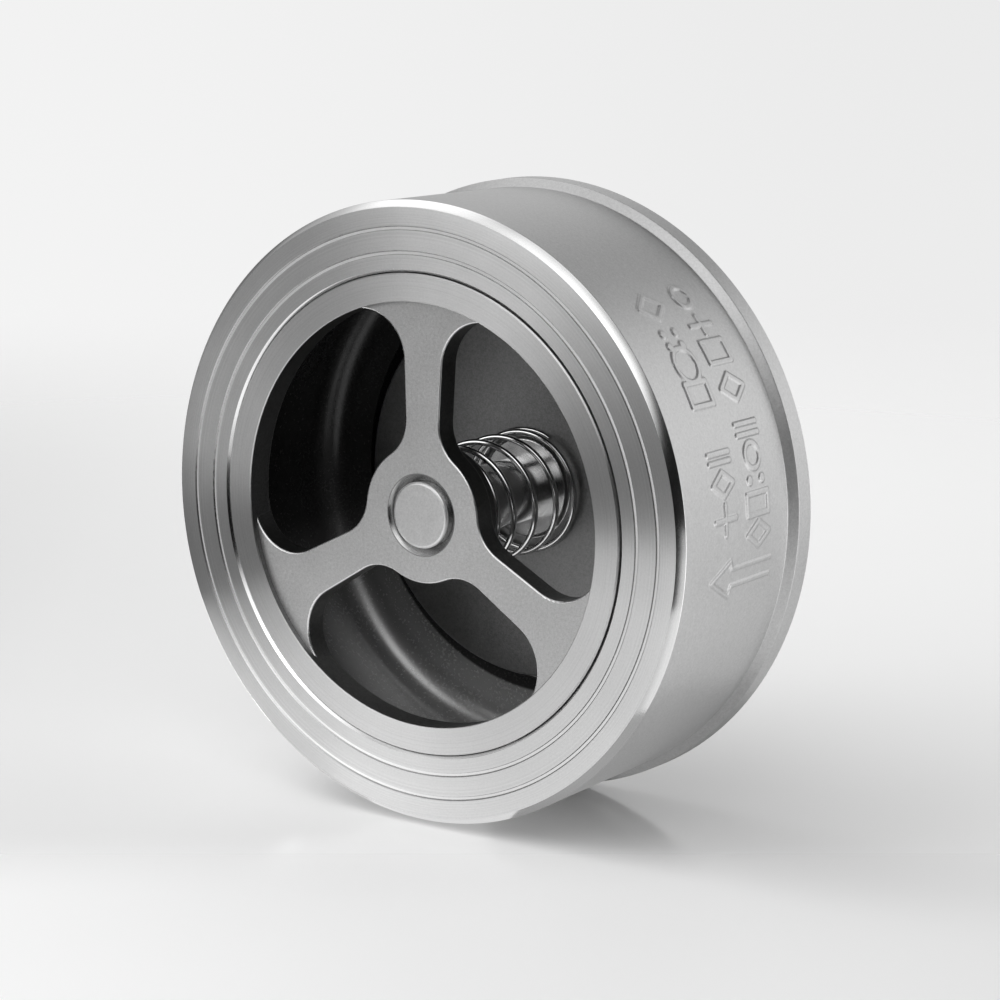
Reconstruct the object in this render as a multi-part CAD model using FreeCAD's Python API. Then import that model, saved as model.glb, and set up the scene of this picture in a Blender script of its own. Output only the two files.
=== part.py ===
import FreeCAD, Part
import math
import os

# Spring-loaded wafer check valve, nominal bore 100 mm.
# Frame: origin at the centre of the body, valve axis along Y, outlet face at
# y = -30 facing -Y, inlet face at y = +30, +Z up. Flow runs towards -Y.
# Depths below are measured from the outlet face: y = depth - 30.

V = FreeCAD.Vector

# ---------------------------------------------------------------- dimensions
LENGTH = 60.0            # face to face
HALF = LENGTH / 2.0
R_FACE = 81.0            # body outside radius behind the outlet chamfer
R_NECK = 79.9            # body radius in front of the rear lip (casting draft)
R_LIP = 82.0             # rear lip
D_LIP = 53.2             # depth where the lip starts
D_CHAMFER = 2.0          # the outlet chamfer ends here
LIP_CHAMFER = 1.2        # rear edge of the lip
R_CAVITY = 74.0          # inside wall between cage and seat
R_BORE = 50.0            # seat bore
D_SEAT = 54.0            # depth of the seat plane
GROOVES = (67.75, 74.0)  # sealing grooves on both faces
GROOVE_W = 1.15
GROOVE_D = 0.35
GROOVE_RUN = 0.16        # sideways run of each groove wall

R_CAGE_SEAT = 62.85      # counterbore that holds the cage
MOUTH = 0.7              # chamfer at its mouth
D_CAGE = 8.0             # cage rim depth
R_CAGE = 62.55           # cage rim outside
R_CAGE_IN = 55.3         # cage rim inside
D_ARM = 2.0              # arms sit this far behind the outlet face
D_ARM_BACK = 8.6
ARM_HALF = 5.15          # half width of an arm beside the hub
ARM_FLARE = 0.045        # growth of the half width per mm of radius
R_HUB = 17.95
D_HUB_BACK = 11.5
FILLET_HUB = 11.5        # fillet between hub and arm
FILLET_RIM = 12.6        # fillet between arm and rim
ARM_ANGLES = (89.0, 209.0, 329.0)
ARM_ROUND = 0.55         # rounding of the arm edges

R_STEM = 8.70
R_BUSH_BORE = 8.75       # 0.05 mm running clearance round the stem
R_BUSH = 10.9
D_STEM_TIP = 1.4
R_BOSS = 13.2
D_BOSS = 47.4
R_SHANK = 5.0
R_DISC = 52.1
D_DISC = 48.9            # front face of the disc
DISC_T = 5.1
D_SPOT = 52.0            # floor of the rear spot face
R_SPOT = 14.0
R_WASHER = 9.5
WASHER_T = 1.0
NUT_AF = 17.0
NUT_T = 5.0

COIL_R = 15.9            # mean radius of the spring
WIRE_R = 0.8
SPRING_D0 = D_HUB_BACK   # rests on the back of the hub
SPRING_D1 = D_DISC       # rests on the front of the disc
LIFT = 25.0              # full travel of the disc


# ------------------------------------------------------------------- helpers
def yd(d):
    """Y of a depth measured from the outlet face."""
    return d - HALF


def p(r, d):
    return V(r, yd(d), 0)


def polar(a_deg, r, d=0.0):
    a = math.radians(a_deg)
    return V(r * math.cos(a), yd(d), r * math.sin(a))


def revolve(pts_or_edges):
    """Full revolution about Y of a closed profile in the X > 0 half of XY."""
    if isinstance(pts_or_edges[0], Part.Edge):
        wire = Part.Wire(pts_or_edges)
    else:
        wire = Part.makePolygon(list(pts_or_edges) + [pts_or_edges[0]])
    return Part.Face(wire).revolve(V(0, 0, 0), V(0, 1, 0), 360)


def cyl(r, d0, d1):
    return Part.makeCylinder(r, d1 - d0, V(0, yd(d0), 0), V(0, 1, 0))


def tube(r1, r0, d0, d1):
    return cyl(r1, d0, d1).cut(cyl(r0, d0 - 1, d1 + 1))


def profile(items):
    """Closed profile from points; a tuple of (r, d, fillet) rounds a corner."""
    n = len(items)
    pts = [p(i[0], i[1]) for i in items]
    rad = [i[2] if len(i) > 2 else 0.0 for i in items]
    edges = []
    starts, ends, arcs = [None] * n, [None] * n, [None] * n
    for k in range(n):
        a, b, c = pts[k - 1], pts[k], pts[(k + 1) % n]
        if rad[k] <= 0:
            starts[k] = ends[k] = b
            continue
        u, v = (a - b), (c - b)
        u.normalize()
        v.normalize()
        half = u.getAngle(v) / 2.0
        t = rad[k] / math.tan(half)
        m = (u + v)
        m.normalize()
        centre = b + m * (rad[k] / math.sin(half))
        starts[k] = b + u * t
        ends[k] = b + v * t
        mid = centre - m * rad[k]
        arcs[k] = Part.Arc(starts[k], mid, ends[k]).toShape()
    for k in range(n):
        if arcs[k]:
            edges.append(arcs[k])
        nxt = (k + 1) % n
        if (ends[k] - starts[nxt]).Length > 1e-6:
            edges.append(Part.LineSegment(ends[k], starts[nxt]).toShape())
    return Part.Wire(edges)


def solid_of(shape):
    s = shape.removeSplitter()
    if s.ShapeType != "Solid" and len(s.Solids) == 1:
        s = s.Solids[0]
    return s


os.makedirs("parts", exist_ok=True)


def export(name, shape):
    assert shape.isValid(), name + " is not valid"
    shape.exportStep("parts/" + name + ".step")
    bb = shape.BoundBox
    print("%-12s solids %d faces %d vol %.0f  y %.2f..%.2f  r %.2f" % (
        name, len(shape.Solids), len(shape.Faces), shape.Volume,
        bb.YMin, bb.YMax, max(bb.XMax, bb.ZMax)))


# ---------------------------------------------------------------- valve body
outer = profile([
    (R_CAGE_SEAT + MOUTH, 0.0),
    (79.3, 0.0, 0.25),
    (R_FACE, D_CHAMFER, 0.3),
    (R_NECK, 51.0, 0.5),
    (R_LIP, D_LIP, 0.3),
    (R_LIP, LENGTH - LIP_CHAMFER, 0.3),
    (R_LIP - LIP_CHAMFER, LENGTH, 0.3),
    (R_BORE + 1.6, LENGTH),
    (R_BORE, 57.6, 1.2),
    (R_BORE, D_SEAT, 0.25),
    (53.6, D_SEAT, 0.3),
    (54.4, 55.4, 0.5),
    (R_CAVITY, 55.4, 9.5),
    (R_CAVITY, 12.4, 3.0),
    (59.6, 9.4, 0.6),
    (59.6, D_CAGE),
    (R_CAGE_SEAT, D_CAGE),
    (R_CAGE_SEAT, MOUTH),
])
body = Part.Face(outer).revolve(V(0, 0, 0), V(0, 1, 0), 360)
if body.Volume < 0:
    body.reverse()
for g in GROOVES:
    w = GROOVE_W / 2.0
    body = body.cut(revolve([p(g - w - 0.2, -0.2), p(g + w + 0.2, -0.2),
                             p(g + w, 0), p(g + w - GROOVE_RUN, GROOVE_D),
                             p(g - w + GROOVE_RUN, GROOVE_D), p(g - w, 0)]))
    body = body.cut(revolve([p(g - w - 0.2, LENGTH + 0.2), p(g - w, LENGTH),
                             p(g - w + GROOVE_RUN, LENGTH - GROOVE_D),
                             p(g + w - GROOVE_RUN, LENGTH - GROOVE_D),
                             p(g + w, LENGTH), p(g + w + 0.2, LENGTH + 0.2)]))


body = solid_of(body)
export("valve_body", body)


# ---------------------------------------------------------------- guide cage
def arm_side(t):
    """Half width of an arm at radius t from the axis."""
    return ARM_HALF + ARM_FLARE * (t - 20.0)


def sector_edges(a_deg):
    """Outline from one arm's tip round the hub to the next arm's tip."""
    def local(u, s, a):
        # u along the arm, s across it (positive towards larger angles)
        ar = math.radians(a)
        return V(u * math.cos(ar) - s * math.sin(ar), yd(D_ARM),
                 u * math.sin(ar) + s * math.cos(ar))

    slope = ARM_FLARE
    nn = math.sqrt(1 + slope * slope)
    out = []
    # hub fillet: centre at distance R_HUB + FILLET_HUB from the axis and
    # FILLET_HUB from the arm's side line
    def side_offset(u, r):
        return ARM_HALF + slope * (u - 20.0) + r * nn

    u = 20.0
    for _ in range(60):
        s = side_offset(u, FILLET_HUB)
        u = math.sqrt(max(1.0, (R_HUB + FILLET_HUB) ** 2 - s * s))
    fh = (u, side_offset(u, FILLET_HUB))
    # rim fillet: its circle crosses the rim's wall at a shallow angle
    D = R_CAGE_IN - FILLET_RIM + 0.5
    u = 40.0
    for _ in range(60):
        s = side_offset(u, FILLET_RIM)
        u = math.sqrt(D * D - s * s)
    fr = (u, side_offset(u, FILLET_RIM))

    def foot(c, r):
        # tangent point of a fillet on the side line
        return (c[0] + r * slope / nn, c[1] - r / nn)

    # end of the rim fillet, just outside the rim's wall
    ang_c = math.atan2(fr[1], fr[0])
    R_end = 57.2
    cosb = (D * D + FILLET_RIM ** 2 - R_end ** 2) / (2 * D * FILLET_RIM)
    beta = math.pi - math.acos(max(-1.0, min(1.0, cosb)))
    # unreachable radius: stop the arc where it points straight outwards
    if cosb <= -1.0:
        beta = 0.0
    tip = (fr[0] + FILLET_RIM * math.cos(ang_c - beta),
           fr[1] + FILLET_RIM * math.sin(ang_c - beta))
    return fh, fr, foot(fh, FILLET_HUB), foot(fr, FILLET_RIM), tip, local


def star_wire():
    edges = []
    fh, fr, foot_h, foot_r, tip, local = sector_edges(0)

    def arc_mid(c, a, b, r):
        m = ((a[0] + b[0]) / 2.0 - c[0], (a[1] + b[1]) / 2.0 - c[1])
        k = math.hypot(*m)
        return (c[0] + m[0] * r / k, c[1] + m[1] * r / k)

    hub_t = (fh[0] * R_HUB / (R_HUB + FILLET_HUB),
             fh[1] * R_HUB / (R_HUB + FILLET_HUB))
    R_OUT = 58.6
    tip_a = math.atan2(tip[1], tip[0])
    out = (R_OUT * math.cos(tip_a), R_OUT * math.sin(tip_a))
    mid_h = arc_mid(fh, hub_t, foot_h, FILLET_HUB)
    mid_r = arc_mid(fr, foot_r, tip, FILLET_RIM)
    for k, a in enumerate(ARM_ANGLES):
        nxt = ARM_ANGLES[(k + 1) % 3]

        def L(q, sgn, ang):
            return local(q[0], sgn * q[1], ang)

        # outer end of this arm
        edges.append(Part.Arc(L(out, -1, a), local(R_OUT, 0, a),
                              L(out, 1, a)).toShape())
        edges.append(Part.LineSegment(L(out, 1, a), L(tip, 1, a)).toShape())
        edges.append(Part.Arc(L(tip, 1, a), L(mid_r, 1, a),
                              L(foot_r, 1, a)).toShape())
        edges.append(Part.LineSegment(L(foot_r, 1, a),
                                      L(foot_h, 1, a)).toShape())
        edges.append(Part.Arc(L(foot_h, 1, a), L(mid_h, 1, a),
                              L(hub_t, 1, a)).toShape())
        # hub arc to the next arm
        half = a + 60.0
        edges.append(Part.Arc(L(hub_t, 1, a),
                              local(R_HUB, 0, half),
                              L(hub_t, -1, nxt)).toShape())
        edges.append(Part.Arc(L(hub_t, -1, nxt), L(mid_h, -1, nxt),
                              L(foot_h, -1, nxt)).toShape())
        edges.append(Part.LineSegment(L(foot_h, -1, nxt),
                                      L(foot_r, -1, nxt)).toShape())
        edges.append(Part.Arc(L(foot_r, -1, nxt), L(mid_r, -1, nxt),
                              L(tip, -1, nxt)).toShape())
        edges.append(Part.LineSegment(L(tip, -1, nxt),
                                      L(out, -1, nxt)).toShape())
    return Part.Wire(Part.__sortEdges__(edges))


star = Part.Face(star_wire()).extrude(V(0, D_ARM_BACK - D_ARM, 0))
front = [e for e in star.Edges
         if all(abs(v.Point.y - yd(D_ARM)) < 1e-6 for v in e.Vertexes)]
back = [e for e in star.Edges
        if all(abs(v.Point.y - yd(D_ARM_BACK)) < 1e-6 for v in e.Vertexes)]
rounded = [e for e in front + back
           if max(math.hypot(v.Point.x, v.Point.z) for v in e.Vertexes) < 56.5]
star = star.makeFillet(ARM_ROUND, rounded)
hub_back = cyl(R_HUB - 0.6, D_ARM_BACK - 1.5, D_HUB_BACK)
hub_back = hub_back.makeFillet(0.6, [e for e in hub_back.Edges if all(
    abs(v.Point.y - yd(D_HUB_BACK)) < 1e-6 for v in e.Vertexes)])
rim = Part.Face(profile([
    (R_CAGE - 0.35, 0.0),
    (R_CAGE, 0.35),
    (R_CAGE, D_CAGE),
    (R_CAGE_IN + 0.2, D_CAGE, 0.5),
    (R_CAGE_IN, 0.0, 0.3),
])).revolve(V(0, 0, 0), V(0, 1, 0), 360)
# arms behind the rim's back are trimmed to the cavity side of the shoulder
star = star.common(cyl(58.8, 0, 12))
trim = tube(70, 59.0, D_CAGE, 14)
cage = rim.multiFuse([star, hub_back]).cut(trim)
cage = cage.cut(cyl(R_BUSH, -1, 14))
cage = solid_of(cage)
export("guide_cage", cage)

# ---------------------------------------------------------------- guide bush
# its mouth is countersunk, so the stem end stands in a shallow cone
bush = Part.Face(profile([
    (R_BUSH - 0.25, D_ARM),
    (R_BUSH, D_ARM),
    (R_BUSH, D_HUB_BACK),
    (R_BUSH_BORE + 0.3, D_HUB_BACK),
    (R_BUSH_BORE, D_HUB_BACK - 0.3),
    (R_BUSH_BORE, D_ARM + 2.2),
])).revolve(V(0, 0, 0), V(0, 1, 0), 360)
export("guide_bush", solid_of(bush))

# ---------------------------------------------------------------------- disc
disc = Part.Face(profile([
    (R_SHANK, D_BOSS + 1.0),
    (R_STEM, D_BOSS + 1.0),
    (R_STEM, D_BOSS),
    (R_BOSS, D_BOSS, 0.4),
    (R_BOSS + 0.3, D_DISC, 0.5),
    (R_DISC, D_DISC, 0.6),
    (R_DISC, D_DISC + DISC_T, 0.5),
    (R_SPOT, D_DISC + DISC_T, 0.5),
    (R_SPOT, D_SPOT, 0.6),
    (R_SHANK, D_SPOT),
])).revolve(V(0, 0, 0), V(0, 1, 0), 360)
export("disc", solid_of(disc))

# ---------------------------------------------------------------------- stem
stem = Part.Face(profile([
    (0.0, D_STEM_TIP),
    (R_STEM, D_STEM_TIP, 0.8),
    (R_STEM, D_BOSS + 1.0),
    (R_SHANK, D_BOSS + 1.0),
    (R_SHANK, D_SPOT + WASHER_T + NUT_T + 0.5),
    (R_SHANK - 0.5, D_SPOT + WASHER_T + NUT_T + 1.0),
    (0.0, D_SPOT + WASHER_T + NUT_T + 1.0),
])).revolve(V(0, 0, 0), V(0, 1, 0), 360)
export("stem", solid_of(stem))

# ---------------------------------------------------------------- tab washer
washer = tube(R_WASHER, R_SHANK, D_SPOT, D_SPOT + WASHER_T)
washer = washer.makeFillet(0.2, [e for e in washer.Edges
                                 if e.Length > 2 * math.pi * R_WASHER - 0.1
                                 and e.Curve.TypeId == "Part::GeomCircle"])
# one corner of the washer is turned up against a flat of the nut
TAB_X = NUT_AF / 2.0
tab = Part.makeBox(1.0, 3.4, 7.0, V(TAB_X, yd(D_SPOT), -3.5))
washer = washer.fuse(tab)
export("tab_washer", solid_of(washer))

# ------------------------------------------------------------------ stem nut
c = NUT_AF / math.sqrt(3.0)
d0, d1 = D_SPOT + WASHER_T, D_SPOT + WASHER_T + NUT_T
pts = [V(c * math.cos(math.radians(30 + 60 * k)), yd(d0),
         c * math.sin(math.radians(30 + 60 * k))) for k in range(7)]
nut = Part.Face(Part.makePolygon(pts)).extrude(V(0, d1 - d0, 0))
cone = revolve([p(0, d0), p(c - 0.9, d0), p(c + 0.9, d0 + 1.05),
                p(c + 0.9, d1 - 1.05), p(c - 0.9, d1), p(0, d1)])
nut = nut.common(cone)
nut = nut.cut(cyl(R_SHANK, d0 - 1, d1 + 1))
chamfer = revolve([p(0, d1 + 0.1), p(R_SHANK + 0.6, d1 + 0.1),
                   p(R_SHANK, d1 - 0.5), p(0, d1 - 0.5)])
nut = nut.cut(chamfer)
export("stem_nut", solid_of(nut))


# -------------------------------------------------------------------- spring
# Right-handed compression spring with a closed turn at each end. Its wire runs
# as short tangent pieces, and both ends are ground flat.
def spring_turns():
    total = SPRING_D1 - SPRING_D0
    lo, hi = SPRING_D0 + WIRE_R * 0.55, SPRING_D1 - WIRE_R * 0.55
    ends = 1.0
    active = 3.5
    n = ends * 2 + active
    pitch_end = 2 * WIRE_R + 0.12
    pitch = ((hi - lo) - 2 * ends * pitch_end) / active
    return lo, hi, ends, active, n, pitch_end, pitch


lo, hi, ends, active, n, pe, pa = spring_turns()
START = math.radians(244.0)


def depth_at(t):
    """Depth of the wire centre after t turns, with smooth pitch changes."""
    def rate(x):
        w = 0.35
        a = min(1.0, max(0.0, (x - (ends - w)) / (2 * w)))
        b = min(1.0, max(0.0, ((n - ends + w) - x) / (2 * w)))
        s = (a * a * (3 - 2 * a)) * (b * b * (3 - 2 * b))
        return pe + (pa - pe) * s
    steps = 400
    table = depth_at.table
    if table is None:
        table = [0.0]
        for k in range(steps):
            table.append(table[-1] + rate((k + 0.5) * n / steps) * n / steps)
        f = (hi - lo) / table[-1]
        table = [lo + q * f for q in table]
        depth_at.table = table
    x = t / n * steps
    k = min(steps - 1, int(x))
    return table[k] + (table[k + 1] - table[k]) * (x - k)


depth_at.table = None
pts = []
PER = 16
for k in range(int(n * PER) + 1):
    t = k / float(PER)
    a = START - 2 * math.pi * t
    pts.append(V(COIL_R * math.cos(a), yd(depth_at(t)), COIL_R * math.sin(a)))
curve = Part.BSplineCurve()
curve.interpolate(pts)
path = Part.Wire([curve.toShape()])
tan = curve.tangent(curve.FirstParameter)[0]
prof = Part.Wire([Part.Circle(pts[0], tan, WIRE_R).toShape()])
pipe = Part.BRepOffsetAPI.MakePipeShell(path)
pipe.setFrenetMode(True)
pipe.add(prof)
pipe.build()
pipe.makeSolid()
spring = pipe.shape()
keep = tube(COIL_R + 3, COIL_R - 3, SPRING_D0, SPRING_D1)
spring = spring.common(keep)
export("spring", solid_of(spring))
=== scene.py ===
import math

import bpy
import numpy as np
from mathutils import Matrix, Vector


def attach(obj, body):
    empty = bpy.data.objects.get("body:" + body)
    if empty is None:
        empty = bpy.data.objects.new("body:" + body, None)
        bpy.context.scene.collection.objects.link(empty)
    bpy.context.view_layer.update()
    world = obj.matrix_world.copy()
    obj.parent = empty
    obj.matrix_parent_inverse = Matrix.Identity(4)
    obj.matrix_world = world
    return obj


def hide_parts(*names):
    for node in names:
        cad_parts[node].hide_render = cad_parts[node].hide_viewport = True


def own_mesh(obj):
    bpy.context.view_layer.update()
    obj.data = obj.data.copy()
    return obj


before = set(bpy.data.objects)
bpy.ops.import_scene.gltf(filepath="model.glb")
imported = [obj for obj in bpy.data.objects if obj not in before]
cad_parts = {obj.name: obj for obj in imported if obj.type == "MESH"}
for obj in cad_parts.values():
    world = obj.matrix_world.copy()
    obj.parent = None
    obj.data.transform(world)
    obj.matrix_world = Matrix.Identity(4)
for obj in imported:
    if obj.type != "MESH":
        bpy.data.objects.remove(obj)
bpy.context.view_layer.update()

MM = 0.001
HALF = 30.0                      # half the face-to-face length, mm


# ------------------------------------------------------------ mesh helpers
def new_mesh(name, verts, faces, smooth_angle=32.0, regions=None):
    """Mesh object from points in millimetres, shaded smooth below an angle."""
    me = bpy.data.meshes.new(name)
    me.from_pydata((np.asarray(verts, float) * MM).tolist(), [], faces)
    me.validate()
    me.update()
    me.shade_smooth()
    ob = bpy.data.objects.new(name, me)
    bpy.context.scene.collection.objects.link(ob)
    if smooth_angle is not None:
        me.set_sharp_from_angle(angle=math.radians(smooth_angle))
    if regions is not None:
        me.polygons.foreach_set("material_index", np.asarray(regions, np.int32))
    return ob


def rounded(items, steps=6):
    """Profile points (r, depth) with rounded corners, and a region tag each.

    An item is (r, d, fillet, tag): the tag belongs to the stretch that starts
    at this corner.
    """
    n = len(items)
    pts = [np.array(i[:2], float) for i in items]
    out, tags = [], []
    for k in range(n):
        a, b, c = pts[k - 1], pts[k], pts[(k + 1) % n]
        r, tag = items[k][2], items[k][3]
        prev = items[k - 1][3]
        if r <= 0:
            out.append(b)
            tags.append(tag)
            continue
        u = (a - b) / np.linalg.norm(a - b)
        v = (c - b) / np.linalg.norm(c - b)
        half = math.acos(max(-1, min(1, float(u @ v)))) / 2
        t = r / math.tan(half)
        m = (u + v) / np.linalg.norm(u + v)
        cen = b + m * r / math.sin(half)
        s, e = b + u * t - cen, b + v * t - cen
        a0, a1 = math.atan2(s[1], s[0]), math.atan2(e[1], e[0])
        da = (a1 - a0 + math.pi) % (2 * math.pi) - math.pi
        ns = max(2, int(steps * max(1.0, min(4.0, r / 1.2)) * abs(da) / 1.57) + 1)
        for j in range(ns + 1):
            an = a0 + da * j / ns
            out.append(cen + r * np.array([math.cos(an), math.sin(an)]))
            tags.append(tag if j >= ns / 2 else prev)
    return np.array(out), tags


def subdivide_profile(pts, tags, tag, step):
    """Adds points along the stretches with a tag, at most step apart."""
    out, outt = [], []
    n = len(pts)
    for k in range(n):
        a, b = pts[k], pts[(k + 1) % n]
        out.append(a)
        outt.append(tags[k])
        if tags[k] == tag:
            L = np.linalg.norm(b - a)
            m = int(L / step)
            for j in range(1, m + 1):
                out.append(a + (b - a) * j / (m + 1))
                outt.append(tags[k])
    return np.array(out), outt


def lathe(name, pts, tags, angles, shape=None, smooth_angle=32.0, slots=None):
    """Turns a closed (r, depth) profile about the valve axis."""
    n, m = len(pts), len(angles)
    R = np.repeat(pts[None, :, 0], m, 0)
    D = np.repeat(pts[None, :, 1], m, 0)
    A = np.repeat(np.asarray(angles)[:, None], n, 1)
    if shape is not None:
        R, D = shape(R, D, A, tags)
    axis = [k for k in range(n) if pts[k, 0] < 1e-6]
    P = np.stack([R * np.cos(A), D - HALF, R * np.sin(A)], 2).reshape(-1, 3)
    index = np.arange(m * n).reshape(m, n)
    for k in axis:
        index[:, k] = index[0, k]
    faces, regs = [], []
    order = slots or {}
    for k in range(n):
        k2 = (k + 1) % n
        reg = order.get(tags[k], 0)
        for j in range(m):
            j2 = (j + 1) % m
            q = [index[j, k], index[j, k2], index[j2, k2], index[j2, k]]
            q = [int(x) for x in q]
            uq = []
            for x in q:
                if x not in uq:
                    uq.append(x)
            if len(uq) >= 3:
                faces.append(uq)
                regs.append(reg)
    used = np.unique(np.concatenate([np.array(f) for f in faces]))
    remap = -np.ones(len(P), int)
    remap[used] = np.arange(len(used))
    faces = [[int(remap[x]) for x in f] for f in faces]
    ob = new_mesh(name, P[used], faces, smooth_angle, regs)
    return ob


def ring_angles(n, dense=None):
    """Angles round the axis; dense = (from, to, step) in degrees."""
    if dense is None:
        return np.linspace(0, 2 * math.pi, n, endpoint=False)
    a0, a1, st = dense
    inner = np.arange(a0, a1, st)
    outer = np.linspace(a1, a0 + 360.0, n, endpoint=False)
    return np.radians(np.concatenate([inner, outer]))


# --------------------------------------------------------------- materials
class Graph:
    """Small helper that builds a node tree."""

    def __init__(self, name):
        self.mat = bpy.data.materials.new(name)
        self.mat.use_nodes = True
        self.t = self.mat.node_tree
        self.t.nodes.clear()
        self.out = self.t.nodes.new("ShaderNodeOutputMaterial")
        self.b = self.t.nodes.new("ShaderNodeBsdfPrincipled")
        self.link(self.b.outputs[0], self.out.inputs["Surface"])
        self._obj = None

    def link(self, a, b):
        self.t.links.new(a, b)

    def node(self, kind, **values):
        n = self.t.nodes.new(kind)
        for k, v in values.items():
            if hasattr(n, k):
                setattr(n, k, v)
        return n

    def put(self, socket, value):
        if isinstance(value, (int, float, tuple, list)):
            socket.default_value = value
        else:
            self.link(value, socket)

    def math(self, op, a, b=0.0, c=0.0, clamp=False):
        n = self.node("ShaderNodeMath", operation=op, use_clamp=clamp)
        self.put(n.inputs[0], a)
        self.put(n.inputs[1], b)
        self.put(n.inputs[2], c)
        return n.outputs[0]

    def obj(self):
        if self._obj is None:
            self._obj = self.node("ShaderNodeTexCoord").outputs["Object"]
        return self._obj

    def xyz(self):
        s = self.node("ShaderNodeSeparateXYZ")
        self.link(self.obj(), s.inputs[0])
        return s.outputs

    def radius(self):
        """Distance from the valve axis, in millimetres."""
        s = self.xyz()
        q = self.math("ADD", self.math("MULTIPLY", s[0], s[0]),
                      self.math("MULTIPLY", s[2], s[2]))
        return self.math("MULTIPLY", self.math("SQRT", q), 1000.0)

    def angle(self):
        s = self.xyz()
        return self.math("ARCTAN2", s[2], s[0])

    def depth(self):
        s = self.xyz()
        return self.math("MULTIPLY_ADD", s[1], 1000.0, HALF)

    def vec(self, x, y, z):
        c = self.node("ShaderNodeCombineXYZ")
        self.put(c.inputs[0], x)
        self.put(c.inputs[1], y)
        self.put(c.inputs[2], z)
        return c.outputs[0]

    def noise(self, vector, scale, detail=4.0, rough=0.55, dist=0.0, dim="3D"):
        n = self.node("ShaderNodeTexNoise")
        n.noise_dimensions = dim
        if dim == "1D":
            self.put(n.inputs["W"], vector)
        else:
            self.put(n.inputs["Vector"], vector)
        n.inputs["Scale"].default_value = scale
        n.inputs["Detail"].default_value = detail
        n.inputs["Roughness"].default_value = rough
        n.inputs["Distortion"].default_value = dist
        return n.outputs[0]

    def ramp(self, fac, stops, interp="LINEAR"):
        n = self.node("ShaderNodeValToRGB")
        n.color_ramp.interpolation = interp
        e = n.color_ramp.elements
        while len(e) > 1:
            e.remove(e[-1])
        e[0].position = stops[0][0]
        e[0].color = stops[0][1]
        for pos, col in stops[1:]:
            x = e.new(pos)
            x.color = col
        self.put(n.inputs[0], fac)
        return n.outputs[0]

    def remap(self, v, a, b, c, d):
        n = self.node("ShaderNodeMapRange")
        self.put(n.inputs[0], v)
        for k, x in zip((1, 2, 3, 4), (a, b, c, d)):
            n.inputs[k].default_value = x
        return n.outputs[0]

    def mix(self, fac, a, b):
        n = self.node("ShaderNodeMix", data_type="RGBA")
        self.put(n.inputs[0], fac)
        self.put(n.inputs[6], a)
        self.put(n.inputs[7], b)
        return n.outputs[2]

    def bump(self, height, dist, strength=1.0, normal=None):
        n = self.node("ShaderNodeBump")
        n.inputs["Strength"].default_value = strength
        n.inputs["Distance"].default_value = dist
        self.link(height, n.inputs["Height"])
        if normal is not None:
            self.link(normal, n.inputs["Normal"])
        return n.outputs[0]

    def grey(self, v):
        c = self.node("ShaderNodeCombineColor")
        for k in range(3):
            self.put(c.inputs[k], v)
        return c.outputs[0]


def scaled(g, k):
    """Object coordinates in units of 1/k millimetres."""
    n = g.node("ShaderNodeVectorMath", operation="SCALE")
    g.link(g.obj(), n.inputs[0])
    n.inputs["Scale"].default_value = 1000.0 * k
    return n.outputs[0]


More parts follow.
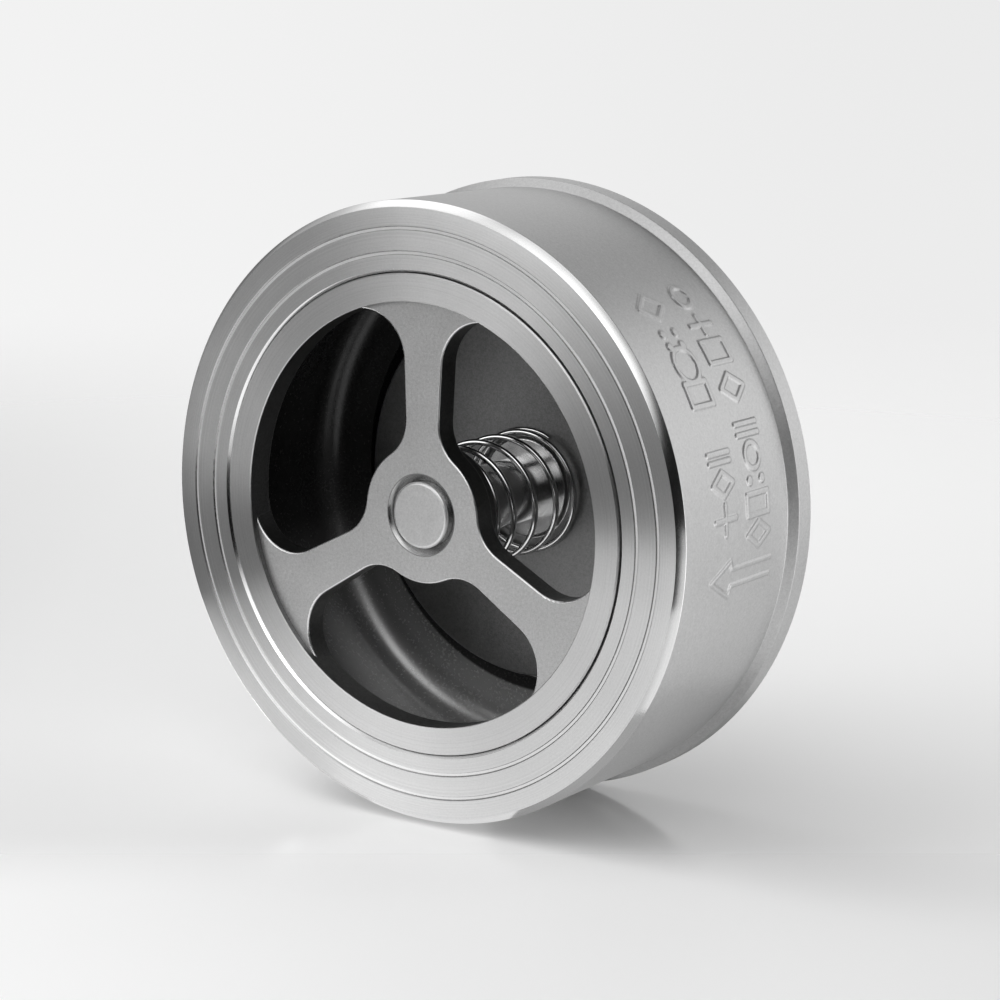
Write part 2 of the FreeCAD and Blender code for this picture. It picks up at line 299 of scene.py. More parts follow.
def turned(name, base=0.62, rough=0.26, aniso=0.75, line=0.003, seed=0.0,
           wobble=0.12, contrast=1.0, shade=None):
    """Lathe-turned steel: fine concentric tool marks round the valve axis."""
    g = Graph(name)
    r, a = g.radius(), g.angle()
    ca, sa = g.math("COSINE", a), g.math("SINE", a)
    # lines that wander slightly in radius as they go round
    drift = g.noise(g.vec(ca, sa, seed), 1.7, 2.0)
    rr = g.math("MULTIPLY_ADD", drift, wobble, r)
    fine = g.noise(g.math("ADD", rr, seed), 3.4, 3.0, 0.65, dim="1D")
    coarse = g.noise(g.math("ADD", rr, seed + 40.0), 1.3, 2.0, 0.6, dim="1D")
    # short arcs: the same lines broken up round the face
    arcs = g.noise(g.vec(g.math("MULTIPLY", r, 4.0),
                         g.math("MULTIPLY", ca, 14.0),
                         g.math("MULTIPLY", sa, 14.0)), 1.0, 4.0, 0.65)
    blot = g.noise(scaled(g, 0.06), 1.0, 5.0, 0.62)
    grain = g.noise(scaled(g, 1.8), 1.0, 3.0, 0.6)

    def centred(x, k):
        return g.math("MULTIPLY", g.math("SUBTRACT", x, 0.5), k)

    tone = g.math("ADD", centred(fine, 0.16 * contrast), centred(arcs, 0.07 * contrast))
    tone = g.math("ADD", tone, centred(coarse, 0.10 * contrast))
    tone = g.math("ADD", tone, centred(blot, 0.12 * contrast))
    tone = g.math("ADD", tone, centred(grain, 0.14 * contrast))
    rg = g.math("ADD", centred(arcs, 0.05 * contrast), centred(coarse, 0.05 * contrast))
    rg = g.math("ADD", rg, centred(blot, 0.08 * contrast))
    h = g.math("ADD", g.math("MULTIPLY", fine, 0.5), g.math("MULTIPLY", coarse, 0.4))
    h = g.math("ADD", h, g.math("MULTIPLY", arcs, 0.18))
    h = g.math("ADD", h, g.math("MULTIPLY", grain, 0.35))
    tone = g.math("ADD", tone, base)
    if shade is not None:
        # painted shade: the tone darker on one side, a ramp along a direction (x, z), then mm and factor
        # pairs
        s = g.xyz()
        u = g.math("ADD", g.math("MULTIPLY", s[0], 1000.0 * shade[0]),
                   g.math("MULTIPLY", s[2], 1000.0 * shade[1]))
        tone = g.math("MULTIPLY", tone, g.remap(u, *shade[2:]))
    g.link(g.grey(tone), g.b.inputs["Base Color"])
    g.link(g.math("MAXIMUM", g.math("ADD", rg, rough), 0.08), g.b.inputs["Roughness"])
    g.link(g.bump(h, line * MM), g.b.inputs["Normal"])
    t = g.node("ShaderNodeTangent", direction_type="RADIAL", axis="Y")
    g.link(t.outputs[0], g.b.inputs["Tangent"])
    g.b.inputs["Metallic"].default_value = 1.0
    g.b.inputs["Anisotropic"].default_value = aniso
    # the tool marks run round, so the gloss spreads across them
    g.b.inputs["Anisotropic Rotation"].default_value = 0.25
    return g.mat


def cast(name, base=0.55, rough=0.42, grain=0.035, big=0.06, scratches=0.0,
         scale=1.0, cloud=1.0, speckle=1.0, shade=None, metallic=1.0, ring=None):
    """Blasted investment casting: fine grain with soft larger unevenness."""
    g = Graph(name)
    fine = g.noise(scaled(g, 2.6 * scale), 1.0, 4.0, 0.65)
    mid = g.noise(scaled(g, 1.25 * scale), 1.0, 3.0, 0.6)
    low = g.noise(scaled(g, 0.09 * scale), 1.0, 4.0, 0.6)
    vor = g.node("ShaderNodeTexVoronoi", feature="F1")
    g.link(scaled(g, 0.55 * scale), vor.inputs["Vector"])
    vor.inputs["Scale"].default_value = 1.0
    pits = g.ramp(vor.outputs["Distance"], [(0.0, (0, 0, 0, 1)), (0.12, (1, 1, 1, 1))])
    h = g.math("ADD", g.math("MULTIPLY", fine, 0.55), g.math("MULTIPLY", mid, 0.8))
    h = g.math("ADD", h, g.math("MULTIPLY", pits, 0.10))
    tone = g.math("ADD", g.math("MULTIPLY", g.math("SUBTRACT", fine, 0.5), 0.22 * speckle),
                  g.math("MULTIPLY", g.math("SUBTRACT", low, 0.5), 0.12 * cloud))
    tone = g.math("ADD", tone, g.math("MULTIPLY", g.math("SUBTRACT", mid, 0.5), 0.20 * speckle))
    tone = g.math("ADD", tone, base)
    rg = g.math("ADD", g.math("MULTIPLY", g.math("SUBTRACT", low, 0.5), 0.16 * cloud), rough)
    rg = g.math("ADD", g.math("MULTIPLY", g.math("SUBTRACT", mid, 0.5), 0.12), rg)
    if scratches > 0:
        r, a, d = g.radius(), g.angle(), g.depth()
        ca, sa = g.math("COSINE", a), g.math("SINE", a)
        s1 = g.noise(g.vec(g.math("MULTIPLY", d, 2.2),
                           g.math("MULTIPLY", ca, 5.0),
                           g.math("MULTIPLY", sa, 5.0)), 1.0, 4.0, 0.7, 0.4)
        s2 = g.noise(g.vec(g.math("MULTIPLY", d, 0.9),
                           g.math("MULTIPLY", ca, 22.0),
                           g.math("MULTIPLY", sa, 22.0)), 1.0, 4.0, 0.7, 1.2)
        sc = g.math("ADD", g.math("SUBTRACT", s1, 0.5), g.math("SUBTRACT", s2, 0.5))
        tone = g.math("ADD", tone, g.math("MULTIPLY", sc, 0.22 * scratches))
        rg = g.math("ADD", rg, g.math("MULTIPLY", sc, 0.25 * scratches))
        h = g.math("ADD", h, g.math("MULTIPLY", sc, 0.30 * scratches))
    if shade is not None:
        # painted shade: the tone darker on one side (lighter with a factor above 1), a ramp along a direction
        # (x, z), then mm and factor pairs
        s = g.xyz()
        u = g.math("ADD", g.math("MULTIPLY", s[0], 1000.0 * shade[0]),
                   g.math("MULTIPLY", s[2], 1000.0 * shade[1]))
        tone = g.math("MULTIPLY", tone, g.remap(u, *shade[2:]))
    if ring is not None:
        # painted shadow: a dark ring round the seat, two radii in mm and the factor inside
        tone = g.math("MULTIPLY", tone, g.remap(g.radius(), ring[0], ring[1], ring[2], 1.0))
    g.link(g.grey(tone), g.b.inputs["Base Color"])
    g.link(g.math("MAXIMUM", rg, 0.12), g.b.inputs["Roughness"])
    n = g.bump(h, grain * MM)
    n = g.bump(low, big * MM, 1.0, n)
    g.link(n, g.b.inputs["Normal"])
    g.b.inputs["Metallic"].default_value = metallic
    return g.mat


def drawn(name, base=0.75, rough=0.16):
    """Bright drawn wire with faint die lines and a little staining."""
    g = Graph(name)
    fine = g.noise(scaled(g, 3.0), 1.0, 3.0, 0.6)
    low = g.noise(scaled(g, 0.35), 1.0, 3.0, 0.6)
    tone = g.math("ADD", g.math("MULTIPLY", g.math("SUBTRACT", low, 0.5), 0.25), base)
    g.link(g.grey(tone), g.b.inputs["Base Color"])
    g.link(g.math("ADD", g.math("MULTIPLY", g.math("SUBTRACT", fine, 0.5), 0.14), rough),
           g.b.inputs["Roughness"])
    g.link(g.bump(fine, 0.006 * MM), g.b.inputs["Normal"])
    g.b.inputs["Metallic"].default_value = 1.0
    return g.mat



M_FACE = turned("turned_face", base=0.64, rough=0.31, aniso=1.0)
M_RIM = turned("turned_rim", base=0.62, rough=0.32, aniso=1.0, seed=7.0)
M_SIDE = cast("cast_side", base=0.56, rough=0.42, grain=0.045, big=0.008, scratches=0.2, cloud=0.25)
# the cavity is painted darker towards the upper left as painted shade, with a painted shadow ring round the
# seat
M_CAVITY = cast("cast_cavity", base=0.50, rough=0.26, grain=0.002, big=0.004, cloud=0.3,
                speckle=0.15, shade=(0.42, -0.91, -15.0, 42.0, 0.11, 1.0), metallic=0.5,
                ring=(57.7, 58.4, 0.08))
# the arms are painted darker towards the lower right: painted shade
M_CAGE = cast("cast_cage", base=0.52, rough=0.46, grain=0.06, big=0.015, cloud=0.7, speckle=1.3,
              shade=(0.8, -0.6, 14.0, 44.0, 1.0, 0.84))
M_ROUND = cast("worn_round", base=0.72, rough=0.29, grain=0.02, big=0.01, cloud=0.5)
# polished chamfers and bore edges; the base is set above the face's as a painted highlight, and the shade
# darkens the bottom of the outlet chamfer as painted shade
M_EDGE = turned("turned_edge_painted_light", base=0.86, rough=0.17, aniso=0.4, line=0.002, seed=13.0,
                contrast=0.6, shade=(0.0, -1.0, 62.0, 76.0, 1.0, 0.80))
# the grooves are one turned steel in three brightnesses: the bottom painted bright as a painted highlight and
# darker towards the lower right as painted shade, the lit flank lighter, the wall painted dark as painted
# shade
M_GROOVE = turned("turned_groove_painted_light", base=0.97, rough=0.34, aniso=0.0, line=0.002, seed=17.0,
                  shade=(0.8, -0.6, 22.0, 58.0, 1.0, 0.60))
M_GROOVE_LIT = turned("groove_flank", base=0.52, rough=0.28, aniso=0.6, line=0.002, seed=23.0)
M_GROOVE_WALL_SHADE = turned("groove_wall_painted_shade", base=0.34, rough=0.26, aniso=0.5, line=0.002, seed=19.0)
# the cage's side walls: the same casting painted darker as painted shade, darker still towards the upper left
M_WALL_PAINTED_SHADE = cast("cage_walls_painted_shade", base=0.25, rough=0.40, grain=0.03, big=0.01, cloud=0.5,
              shade=(0.42, -0.91, -40.0, 40.0, 0.45, 1.1))
M_DISC = cast("blasted_disc", base=0.265, rough=0.46, grain=0.05, big=0.01, scale=1.2, cloud=0.6)
M_BOSS = turned("turned_boss", base=0.62, rough=0.22, aniso=0.7, seed=21.0)
M_STEM = turned("polished_stem", base=0.62, rough=0.14, aniso=0.3, line=0.001, seed=31.0)
M_STEM_END = cast("ground_stem_end", base=0.66, rough=0.40, grain=0.03, big=0.01, cloud=0.6)
M_BUSH = turned("turned_bush", base=0.48, rough=0.24, aniso=0.5, seed=37.0)
M_WIRE = drawn("spring_wire")
M_NUT = turned("formed_nut", base=0.62, rough=0.24, aniso=0.2, seed=43.0)


def give(ob, *mats):
    index = np.zeros(len(ob.data.polygons), np.int32)
    ob.data.polygons.foreach_get("material_index", index)
    ob.data.materials.clear()
    for m in mats:
        ob.data.materials.append(m)
    ob.data.polygons.foreach_set("material_index", index)
    ob.data.update()


# ------------------------------------------------------------------- body
R_FACE, R_NECK, R_LIP = 81.0, 79.9, 82.0
R_CAVITY = 74.0
SLOTS = {"face": 0, "side": 1, "cavity": 2, "edge": 3, "groove": 4,
         "wall": 5, "lit": 6}


def groove(r, d, sgn, w=0.575, dep=0.35, run=0.16):
    """A narrow flat-bottomed groove in a face, in order of falling r."""
    lo = d + sgn * dep
    return [(r + w, d, 0.0, "lit"), (r + w - 2 * run, lo, 0.0, "groove"),
            (r - w + run, lo, 0.0, "wall"), (r - w, d, 0.0, "face")]


items = [
    (63.55, 0.0, 0.0, "face"),
    *[(q[0], q[1], q[2], t) for q, t in zip(reversed(groove(67.75, 0.0, 1)),
                                            ("wall", "groove", "lit", "face"))],
    *[(q[0], q[1], q[2], t) for q, t in zip(reversed(groove(74.0, 0.0, 1)),
                                            ("wall", "groove", "lit", "face"))],
    (79.30, 0.0, 0.15, "edge"),
    (R_FACE, 2.0, 0.25, "side"),
    (R_NECK, 51.0, 0.4, "side"),
    (R_LIP, 53.2, 0.3, "side"),
    (R_LIP, 58.8, 0.3, "side"),
    (R_LIP - 1.2, 60.0, 0.3, "face"),
    *groove(74.0, 60.0, -1),
    *groove(67.75, 60.0, -1),
    (51.6, 60.0, 0.2, "edge"),
    (50.0, 57.6, 1.2, "edge"),
    (50.0, 54.0, 0.25, "edge"),
    (53.6, 54.0, 0.3, "cavity"),
    (54.4, 55.4, 0.5, "cavity"),
    (R_CAVITY, 55.4, 9.5, "cavity"),
    (R_CAVITY, 12.4, 3.0, "cavity"),
    (59.6, 9.4, 0.6, "cavity"),
    (59.6, 8.0, 0.0, "cavity"),
    (62.85, 8.0, 0.0, "edge"),
    (62.85, 0.70, 0.0, "edge"),
]
prof, ptag = rounded(items)
prof, ptag = subdivide_profile(prof, ptag, "side", 0.24)

# raised strokes on the side: (angle, depth) to (angle, depth)
ROLL = 6.8
strokes, rings, dots = [], [], []


def bar(a0, d0, a1, d1, w=1.0):
    strokes.append((a0 + ROLL, d0, a1 + ROLL, d1, w))


def poly(points, w=1.0):
    for k in range(len(points)):
        p, q = points[k], points[(k + 1) % len(points)]
        bar(p[0], p[1], q[0], q[1], w)


def box_mark(a0, a1, d0, d1):
    poly([(a0, d0), (a1, d0), (a1, d1), (a0, d1)])


def diamond(a0, a1, d0, d1):
    am, dm = (a0 + a1) / 2, (d0 + d1) / 2
    poly([(a0, dm), (am, d0), (a1, dm), (am, d1)])


def ring_mark(a, d, r):
    rings.append((a + ROLL, d, r, 1.0))


def cross_mark(a0, a1, d0, d1):
    bar((a0 + a1) / 2, d0, (a0 + a1) / 2, d1)
    bar(a0, (d0 + d1) / 2, a1, (d0 + d1) / 2)


def dot(a, d, r=1.5):
    dots.append((a + ROLL, d, r))


# first column of plain foundry marks
diamond(40.3, 35.0, 15.4, 26.0)
dot(31.8, 18.0)
dot(31.8, 23.6)
dot(29.2, 18.0)
dot(29.2, 23.6)
ring_mark(25.4, 20.8, 4.7)
box_mark(22.0, 17.6, 16.0, 25.6)
bar(8.9, 16.0, 8.9, 25.6)
bar(7.3, 16.0, 7.3, 25.6)
diamond(5.6, 1.2, 16.0, 25.6)
cross_mark(-0.3, -5.7, 16.0, 25.6)
# second column
ring_mark(38.6, 36.2, 3.2)
cross_mark(34.2, 30.4, 31.6, 41.0)
box_mark(28.9, 24.6, 31.4, 41.2)
diamond(22.2, 17.2, 31.0, 41.6)
bar(12.9, 31.4, 12.9, 41.2)
bar(10.9, 31.4, 10.9, 41.2)
ring_mark(7.0, 36.3, 3.3)
dot(2.6, 33.4)
dot(2.6, 39.2)
box_mark(0.2, -3.6, 31.4, 41.2)
diamond(-4.9, -9.4, 31.2, 41.4)
# flow arrow
bar(-13.8, 14.6, -10.7, 23.2, 0.75)
bar(-13.8, 14.6, -17.4, 23.8, 0.75)
bar(-10.7, 23.2, -12.3, 24.2, 0.75)
bar(-17.4, 23.8, -15.4, 24.4, 0.75)
bar(-12.3, 24.2, -12.3, 43.0, 0.75)
bar(-15.4, 24.4, -15.4, 43.0, 0.75)


def mark_height(A, D):
    """Height in mm of the raised marks at an angle (radians) and a depth."""
    a = (np.degrees(A) + 180.0) % 360.0 - 180.0
    s = np.radians(a) * 80.4
    best = np.zeros_like(s)

    def bump(dist, w):
        q = np.clip((w + 0.30 - dist) / 0.55, 0, 1)
        return q * q * (3 - 2 * q)

    for a0, d0, a1, d1, w in strokes:
        x0, x1 = math.radians(a0) * 80.4, math.radians(a1) * 80.4
        vx, vy = x1 - x0, d1 - d0
        L2 = vx * vx + vy * vy
        t = np.clip(((s - x0) * vx + (D - d0) * vy) / L2, 0, 1)
        dist = np.hypot(s - x0 - t * vx, D - d0 - t * vy)
        best = np.maximum(best, bump(dist, w * 0.72))
    for a0, d0, r, w in rings:
        x0 = math.radians(a0) * 80.4
        dist = np.abs(np.hypot(s - x0, D - d0) - r)
        best = np.maximum(best, bump(dist, w * 0.72))
    for a0, d0, r in dots:
        x0 = math.radians(a0) * 80.4
        dist = np.hypot(s - x0, D - d0)
        best = np.maximum(best, bump(dist, r - 0.2))
    return best * 0.34


def body_shape(R, D, A, tags):
    side = np.array([t == "side" for t in tags])
    side = side[None, :] & (D > 10) & (D < 48)
    h = mark_height(A, D)
    return R + np.where(side, h, 0.0), D


angles = ring_angles(300, (-16.0, 52.0, 0.17))
body = lathe("valve_body_casting", prof, ptag, angles, body_shape, 28.0, SLOTS)
give(body, M_FACE, M_SIDE, M_CAVITY, M_EDGE, M_GROOVE, M_GROOVE_WALL_SHADE,
     M_GROOVE_LIT)
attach(body, "valve")
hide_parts("valve_body")

# ----------------------------------------------------------------- spring
COIL_R, WIRE_R = 15.9, 0.8
SPRING_D0, SPRING_D1 = 11.5, 48.9
END_TURNS, ACTIVE_TURNS = 1.0, 3.5
SPRING_START = math.radians(244.0)


def spring_mesh(name, per=90, around=16):
    """Round wire with a closed turn at each end, both ends ground flat."""
    n = 2 * END_TURNS + ACTIVE_TURNS
    lo, hi = SPRING_D0 + WIRE_R * 0.55, SPRING_D1 - WIRE_R * 0.55
    pe = 2 * WIRE_R + 0.12
    pa = ((hi - lo) - 2 * END_TURNS * pe) / ACTIVE_TURNS
    m = int(n * per)
    t = np.linspace(0, n, m + 1)
    tm = (t[1:] + t[:-1]) / 2
    w = 0.35
    a = np.clip((tm - (END_TURNS - w)) / (2 * w), 0, 1)
    b = np.clip(((n - END_TURNS + w) - tm) / (2 * w), 0, 1)
    s = (a * a * (3 - 2 * a)) * (b * b * (3 - 2 * b))
    d = np.concatenate([[0.0], np.cumsum((pe + (pa - pe) * s) * (n / m))])
    d = lo + (hi - lo) * d / d[-1]
    ang = SPRING_START - 2 * math.pi * t
    # it hangs a little low on the stem
    cx, cz = 0.45, -0.60
    rr = COIL_R + 0.35 * np.clip((t - (n - 1.2)) / 0.8, 0, 1)
    P = np.stack([cx + rr * np.cos(ang), d - HALF, cz + rr * np.sin(ang)], 1)
    T = np.gradient(P, axis=0)
    T /= np.linalg.norm(T, axis=1)[:, None]
    N = np.stack([np.cos(ang), np.zeros_like(ang), np.sin(ang)], 1)
    N -= (N * T).sum(1)[:, None] * T
    N /= np.linalg.norm(N, axis=1)[:, None]
    B = np.cross(T, N)
    v = np.linspace(0, 2 * math.pi, around, endpoint=False)
    ring = (P[:, None, :] + WIRE_R * (np.cos(v)[None, :, None] * N[:, None, :]
                                      + np.sin(v)[None, :, None] * B[:, None, :]))
    ring[:, :, 1] = np.clip(ring[:, :, 1], SPRING_D0 - HALF, SPRING_D1 - HALF)
    verts = ring.reshape(-1, 3)
    faces = []
    for i in range(m):
        for j in range(around):
            k = (j + 1) % around
            faces.append((i * around + j, i * around + k,
                          (i + 1) * around + k, (i + 1) * around + j))
    faces.append(tuple(range(around - 1, -1, -1)))
    faces.append(tuple(m * around + j for j in range(around)))
    return new_mesh(name, verts, faces, 40.0)


coil = spring_mesh("spring_coil")
give(coil, M_WIRE)
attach(coil, "spring_turns")
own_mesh(coil)
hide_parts("spring")

# ------------------------------------------------------------------ stage
floor_z = -0.082


def plane(name, size, z):
    me = bpy.data.meshes.new(name)
    s = size
    me.from_pydata([(-s, -s, z), (s, -s, z), (s, s, z), (-s, s, z)], [], [(0, 1, 2, 3)])
    ob = bpy.data.objects.new(name, me)
    bpy.context.scene.collection.objects.link(ob)
    return ob


floor = plane("floor", 3.0, floor_z - 0.0002)
fg = Graph("floor_paint")
fn = fg.noise(fg.obj(), 3.0, 3.0)
fx = fg.xyz()
# painted shade: the table's colour a little darker to the right
painted_shade_u = fg.math("ADD", fg.math("MULTIPLY", fx[0], 0.809), fg.math("MULTIPLY", fx[1], 0.588))
fg.link(fg.grey(fg.math("MULTIPLY", fg.remap(fn, 0.0, 1.0, 0.91, 0.95),
                        fg.remap(painted_shade_u, -0.14, 0.22, 1.0, 0.75))), fg.b.inputs["Base Color"])
# glossy by the contact, matt towards the front
ft = fg.math("SUBTRACT", fg.math("MULTIPLY", fx[0], 0.588), fg.math("MULTIPLY", fx[1], 0.809))
fg.link(fg.remap(ft, 0.030, 0.080, 0.13, 0.50), fg.b.inputs["Roughness"])
fg.link(fg.remap(ft, 0.040, 0.090, 0.45, 0.15), fg.b.inputs["Specular IOR Level"])
fr = fg.math("SQRT", fg.math("ADD", fg.math("MULTIPLY", fx[0], fx[0]),
                             fg.math("MULTIPLY", fx[1], fx[1])))
clear = fg.node("ShaderNodeBsdfTransparent")
blend = fg.node("ShaderNodeMixShader")
fade = fg.node("ShaderNodeMapRange", interpolation_type="SMOOTHSTEP")
fg.put(fade.inputs[0], fr)
fade.inputs[1].default_value = 0.30
fade.inputs[2].default_value = 0.95
fg.link(fade.outputs[0], blend.inputs[0])
fg.link(fg.b.outputs[0], blend.inputs[1])
fg.link(clear.outputs[0], blend.inputs[2])
fg.link(blend.outputs[0], fg.out.inputs["Surface"])
give(floor, fg.mat)

for n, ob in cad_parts.items():
    ob.data.shade_smooth()
    ob.data.set_sharp_from_angle(angle=math.radians(30))


def regions(ob, pick):
    """Gives each face of a CAD node one of its materials, a finish or a painted-shade copy; the mesh stays.
    """
    me = ob.data
    n = len(me.polygons)
    c = np.zeros(n * 3)
    me.polygons.foreach_get("center", c)
    c = c.reshape(-1, 3) / MM
    nrm = np.zeros(n * 3)
    me.polygons.foreach_get("normal", nrm)
    nrm = nrm.reshape(-1, 3)
    r = np.hypot(c[:, 0], c[:, 2])
    d = c[:, 1] + HALF
    me.polygons.foreach_set("material_index", pick(r, d, nrm).astype(np.int32))


# index 3, the side walls, takes the darker painted-shade copy of the casting
give(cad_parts["guide_cage"], M_CAGE, M_RIM, M_ROUND, M_WALL_PAINTED_SHADE)
regions(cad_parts["guide_cage"],
        lambda r, d, n: np.where((r > 54.9) & (d < 0.32), 1,
                                 np.where((d < 2.7) & (n[:, 1] > -0.97) & (n[:, 1] < -0.12), 2,
                                          np.where((np.abs(n[:, 1]) < 0.2) & (r > 11.2) & (r < 56.0), 3, 0))))
give(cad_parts["guide_bush"], M_BUSH)
give(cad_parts["disc"], M_DISC, M_BOSS)
regions(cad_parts["disc"],
        lambda r, d, n: np.where(((r < 13.9) & (d < 49.5)) | (d > 53.6) & (r < 15), 1, 0))
give(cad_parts["stem"], M_STEM, M_STEM_END)
regions(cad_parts["stem"],
        lambda r, d, n: np.where(d < 2.3, 1, 0))
give(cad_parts["tab_washer"], M_NUT)
give(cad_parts["stem_nut"], M_NUT)


# ----------------------------------------------------------------- lights
def area(name, loc, target, size, power, size_y=None, spread=180.0):
    ld = bpy.data.lights.new(name, "AREA")
    ld.shape = "RECTANGLE" if size_y else "SQUARE"
    ld.size = size
    if size_y:
        ld.size_y = size_y
    ld.energy = power
    ld.spread = math.radians(spread)
    ob = bpy.data.objects.new(name, ld)
    ob.location = loc
    d = Vector(target) - Vector(loc)
    ob.rotation_euler = d.to_track_quat("-Z", "Y").to_euler()
    bpy.context.scene.collection.objects.link(ob)
    return ob


# studio light all round, as soft lobes: x, y, z, strength
LOBES = [
    (-0.217, 0.077, 0.973, 0.08),
    (0.138, -0.261, 0.955, 0.57),
    (-0.330, -0.214, 0.920, 0.28),
    (-0.039, -0.498, 0.866, 0.51),
    (-0.557, -0.005, 0.830, 0.86),
    (0.433, -0.390, 0.812, 0.23),
    (-0.058, 0.604, 0.795, 0.05),
    (-0.570, 0.356, 0.741, 0.58),
    (0.185, -0.665, 0.723, 0.73),
    (0.321, 0.632, 0.705, 0.15),
    (-0.327, 0.684, 0.652, 0.42),
    (-0.225, -0.740, 0.634, 0.08),
    (-0.784, 0.165, 0.598, 0.18),
    (0.474, -0.662, 0.580, 1.41),
    (0.099, 0.821, 0.562, 0.07),
    (-0.615, 0.602, 0.509, 0.10),
    (0.559, 0.681, 0.473, 0.65),
    (-0.207, 0.884, 0.420, 0.05),
    (-0.448, -0.798, 0.402, 1.60),
    (0.312, 0.891, 0.330, 0.54),
    (-0.155, -0.953, 0.259, 0.25),
    (-0.972, 0.072, 0.223, 0.34),
    (-0.656, -0.736, 0.170, 0.33),
    (0.523, 0.847, 0.098, 0.48),
    (-0.355, 0.934, 0.045, 1.21),
    (-0.369, -0.929, 0.027, 0.08),
    (0.900, 0.436, 0.009, 0.89),
    (-0.651, 0.752, -0.098, 0.06),
    (0.690, 0.712, -0.134, 0.39),
    (-0.548, -0.811, -0.205, 0.15),
    (0.948, 0.227, -0.223, 0.91),
    (-0.848, 0.471, -0.241, 0.19),
    (0.391, 0.878, -0.277, 0.05),
    (-0.227, -0.910, -0.348, 0.21),
    (0.776, 0.514, -0.366, 0.29),
    (0.063, 0.906, -0.420, 0.15),
]
# bounce cards on the table, seen only in the metal: inner and outer radius (m),
# bearing (degrees), strength
CARDS = [
    (0.00, 0.10, 0, 0.39),
    (0.00, 0.10, 90, 0.10),
    (0.00, 0.10, 180, 0.63),
    (0.00, 0.10, 270, 0.96),
    (0.10, 0.22, 0, 0.87),
    (0.10, 0.22, 45, 0.53),
    (0.10, 0.22, 90, 0.90),
    (0.10, 0.22, 180, 3.50),
    (0.10, 0.22, 225, 0.88),
    (0.10, 0.22, 270, 1.12),
    (0.10, 0.22, 315, 0.65),
    (0.22, 0.45, 0, 0.72),
    (0.22, 0.45, 45, 0.22),
    (0.22, 0.45, 270, 1.25),
    (0.45, 1.00, 0, 0.52),
]
LOBE_COS = math.cos(math.radians(28.0))

verts, faces, glow = [], [], []
for k, (r0, r1, bearing, value) in enumerate(CARDS):
    half = 45.0 if r0 < 0.01 else 22.5
    z = floor_z - 0.002 - 0.0001 * k
    a0, a1 = math.radians(bearing - half), math.radians(bearing + half)
    base = len(verts)
    for t in np.linspace(a0, a1, 7):
        verts.append((r1 * math.cos(t), r1 * math.sin(t), z))
    for t in np.linspace(a1, a0, 7):
        verts.append((r0 * math.cos(t), r0 * math.sin(t), z))
    faces.append(tuple(range(base, base + 14)))
    glow.append(value)
me = bpy.data.meshes.new("bounce_cards")
me.from_pydata(verts, [], faces)
at = me.attributes.new("glow", "FLOAT", "FACE")
at.data.foreach_set("value", np.asarray(glow, np.float32))
cards = bpy.data.objects.new("bounce_cards", me)
bpy.context.scene.collection.objects.link(cards)
cm = bpy.data.materials.new("bounce_card")
cm.use_nodes = True
ctree = cm.node_tree
ctree.nodes.clear()
co = ctree.nodes.new("ShaderNodeOutputMaterial")
ce = ctree.nodes.new("ShaderNodeEmission")
ca = ctree.nodes.new("ShaderNodeAttribute")
ca.attribute_name = "glow"
cx = ctree.nodes.new("ShaderNodeBsdfTransparent")
cadd = ctree.nodes.new("ShaderNodeAddShader")
ctree.links.new(ca.outputs["Fac"], ce.inputs[1])
ctree.links.new(ce.outputs[0], cadd.inputs[0])
ctree.links.new(cx.outputs[0], cadd.inputs[1])
ctree.links.new(cadd.outputs[0], co.inputs[0])
me.materials.append(cm)
cards.visible_camera = False
cards.visible_diffuse = False
cards.visible_shadow = False
floor.visible_glossy = False
floor.visible_shadow = False

# a wide soft light that reaches only the table
top = area("table_light", (-1.6, -1.15, 1.9), (0, 0, 0), 2.4, 46.0, 2.4)
only = bpy.data.collections.new("table_only")
only.objects.link(floor)
top.light_linking.receiver_collection = only

world = bpy.data.worlds.new("studio")
bpy.context.scene.world = world
world.use_nodes = True
wt = world.node_tree
wt.nodes.clear()


def wnode(kind, **kw):
    n = wt.nodes.new(kind)
    for k, v in kw.items():
        setattr(n, k, v)
    return n


wo = wnode("ShaderNodeOutputWorld")
tc = wnode("ShaderNodeTexCoord")


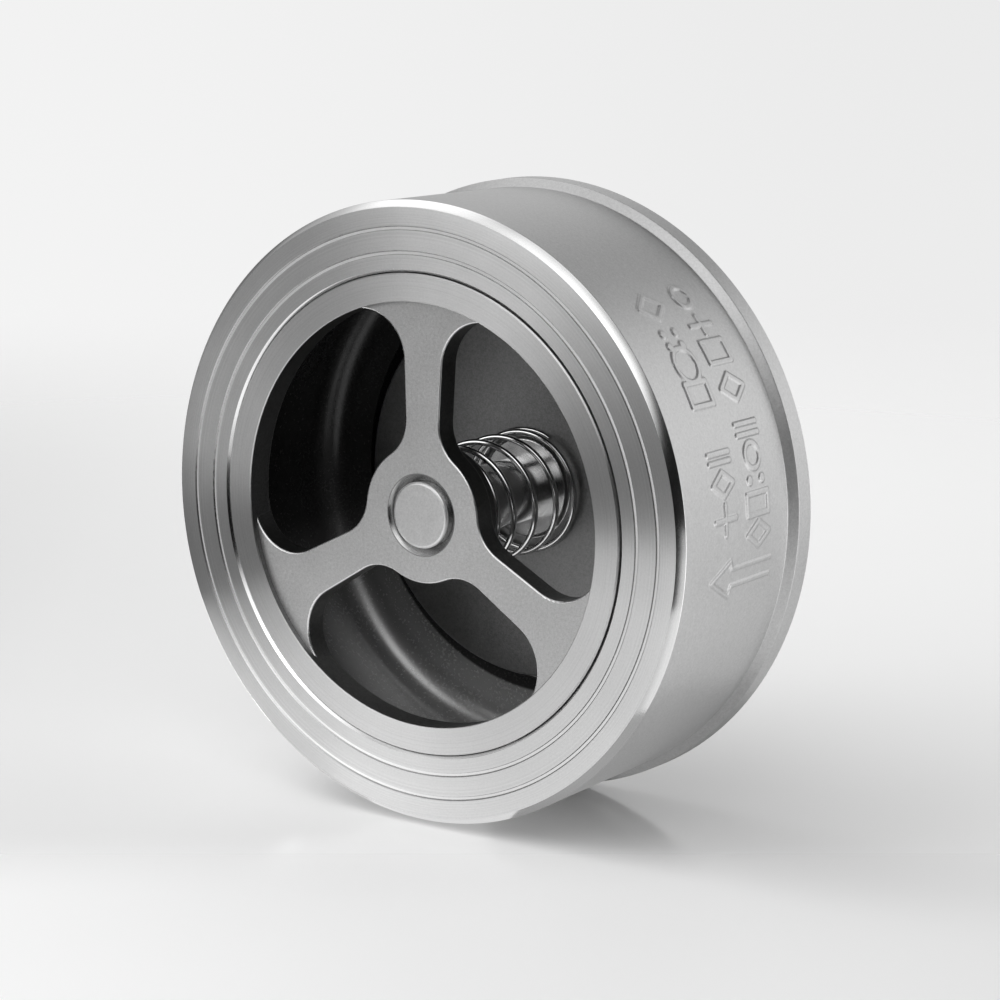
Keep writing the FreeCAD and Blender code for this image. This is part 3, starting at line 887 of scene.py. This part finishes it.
def wmap(src, a, b, c, d):
    n = wnode("ShaderNodeMapRange", interpolation_type="SMOOTHSTEP")
    wt.links.new(src, n.inputs[0])
    for k, v in zip((1, 2, 3, 4), (a, b, c, d)):
        n.inputs[k].default_value = v
    return n.outputs[0]


def wmath(op, a, b):
    n = wnode("ShaderNodeMath", operation=op)
    for k, v in ((0, a), (1, b)):
        if isinstance(v, (int, float)):
            n.inputs[k].default_value = v
        else:
            wt.links.new(v, n.inputs[k])
    return n.outputs[0]


def wdot(x, y, z):
    n = wnode("ShaderNodeVectorMath", operation="DOT_PRODUCT")
    wt.links.new(tc.outputs["Generated"], n.inputs[0])
    n.inputs[1].default_value = (x, y, z)
    return n.outputs["Value"]


lit = None
for x, y, z, value in LOBES:
    lobe = wmap(wdot(x, y, z), LOBE_COS, 1.0, 0.0, value)
    lit = lobe if lit is None else wmath("ADD", lit, lobe)
seen = wmap(wdot(0.0, 0.0, 1.0), -0.30, 0.10, 0.88, 0.84)     # backdrop as seen
seen = wmath("MULTIPLY", seen, wmap(wdot(0.809, 0.588, 0.0), -0.15, 0.15, 1.04, 0.97))
b1 = wnode("ShaderNodeBackground")
b2 = wnode("ShaderNodeBackground")
wt.links.new(lit, b1.inputs[1])
wt.links.new(seen, b2.inputs[1])
b1.inputs[0].default_value = (1, 1, 1, 1)
b2.inputs[0].default_value = (1, 1, 1, 1)
lp = wnode("ShaderNodeLightPath")
mx = wnode("ShaderNodeMixShader")
wt.links.new(lp.outputs["Is Camera Ray"], mx.inputs[0])
wt.links.new(b1.outputs[0], mx.inputs[1])
wt.links.new(b2.outputs[0], mx.inputs[2])
wt.links.new(mx.outputs[0], wo.inputs[0])

# ----------------------------------------------------------------- camera
cd = bpy.data.cameras.new("camera")
cd.sensor_width = 36.0
cd.lens = 123.33
cam = bpy.data.objects.new("camera", cd)
cam.location = (0.5220, -0.7118, 0.1779)
fwd = Vector((-0.5762, 0.7929, -0.1982))
cam.rotation_mode = "QUATERNION"
cam.rotation_quaternion = fwd.to_track_quat("-Z", "Y")
cd.clip_start = 0.05
cd.clip_end = 50.0
bpy.context.scene.collection.objects.link(cam)
bpy.context.scene.camera = cam
bpy.context.scene.view_settings.view_transform = "Standard"
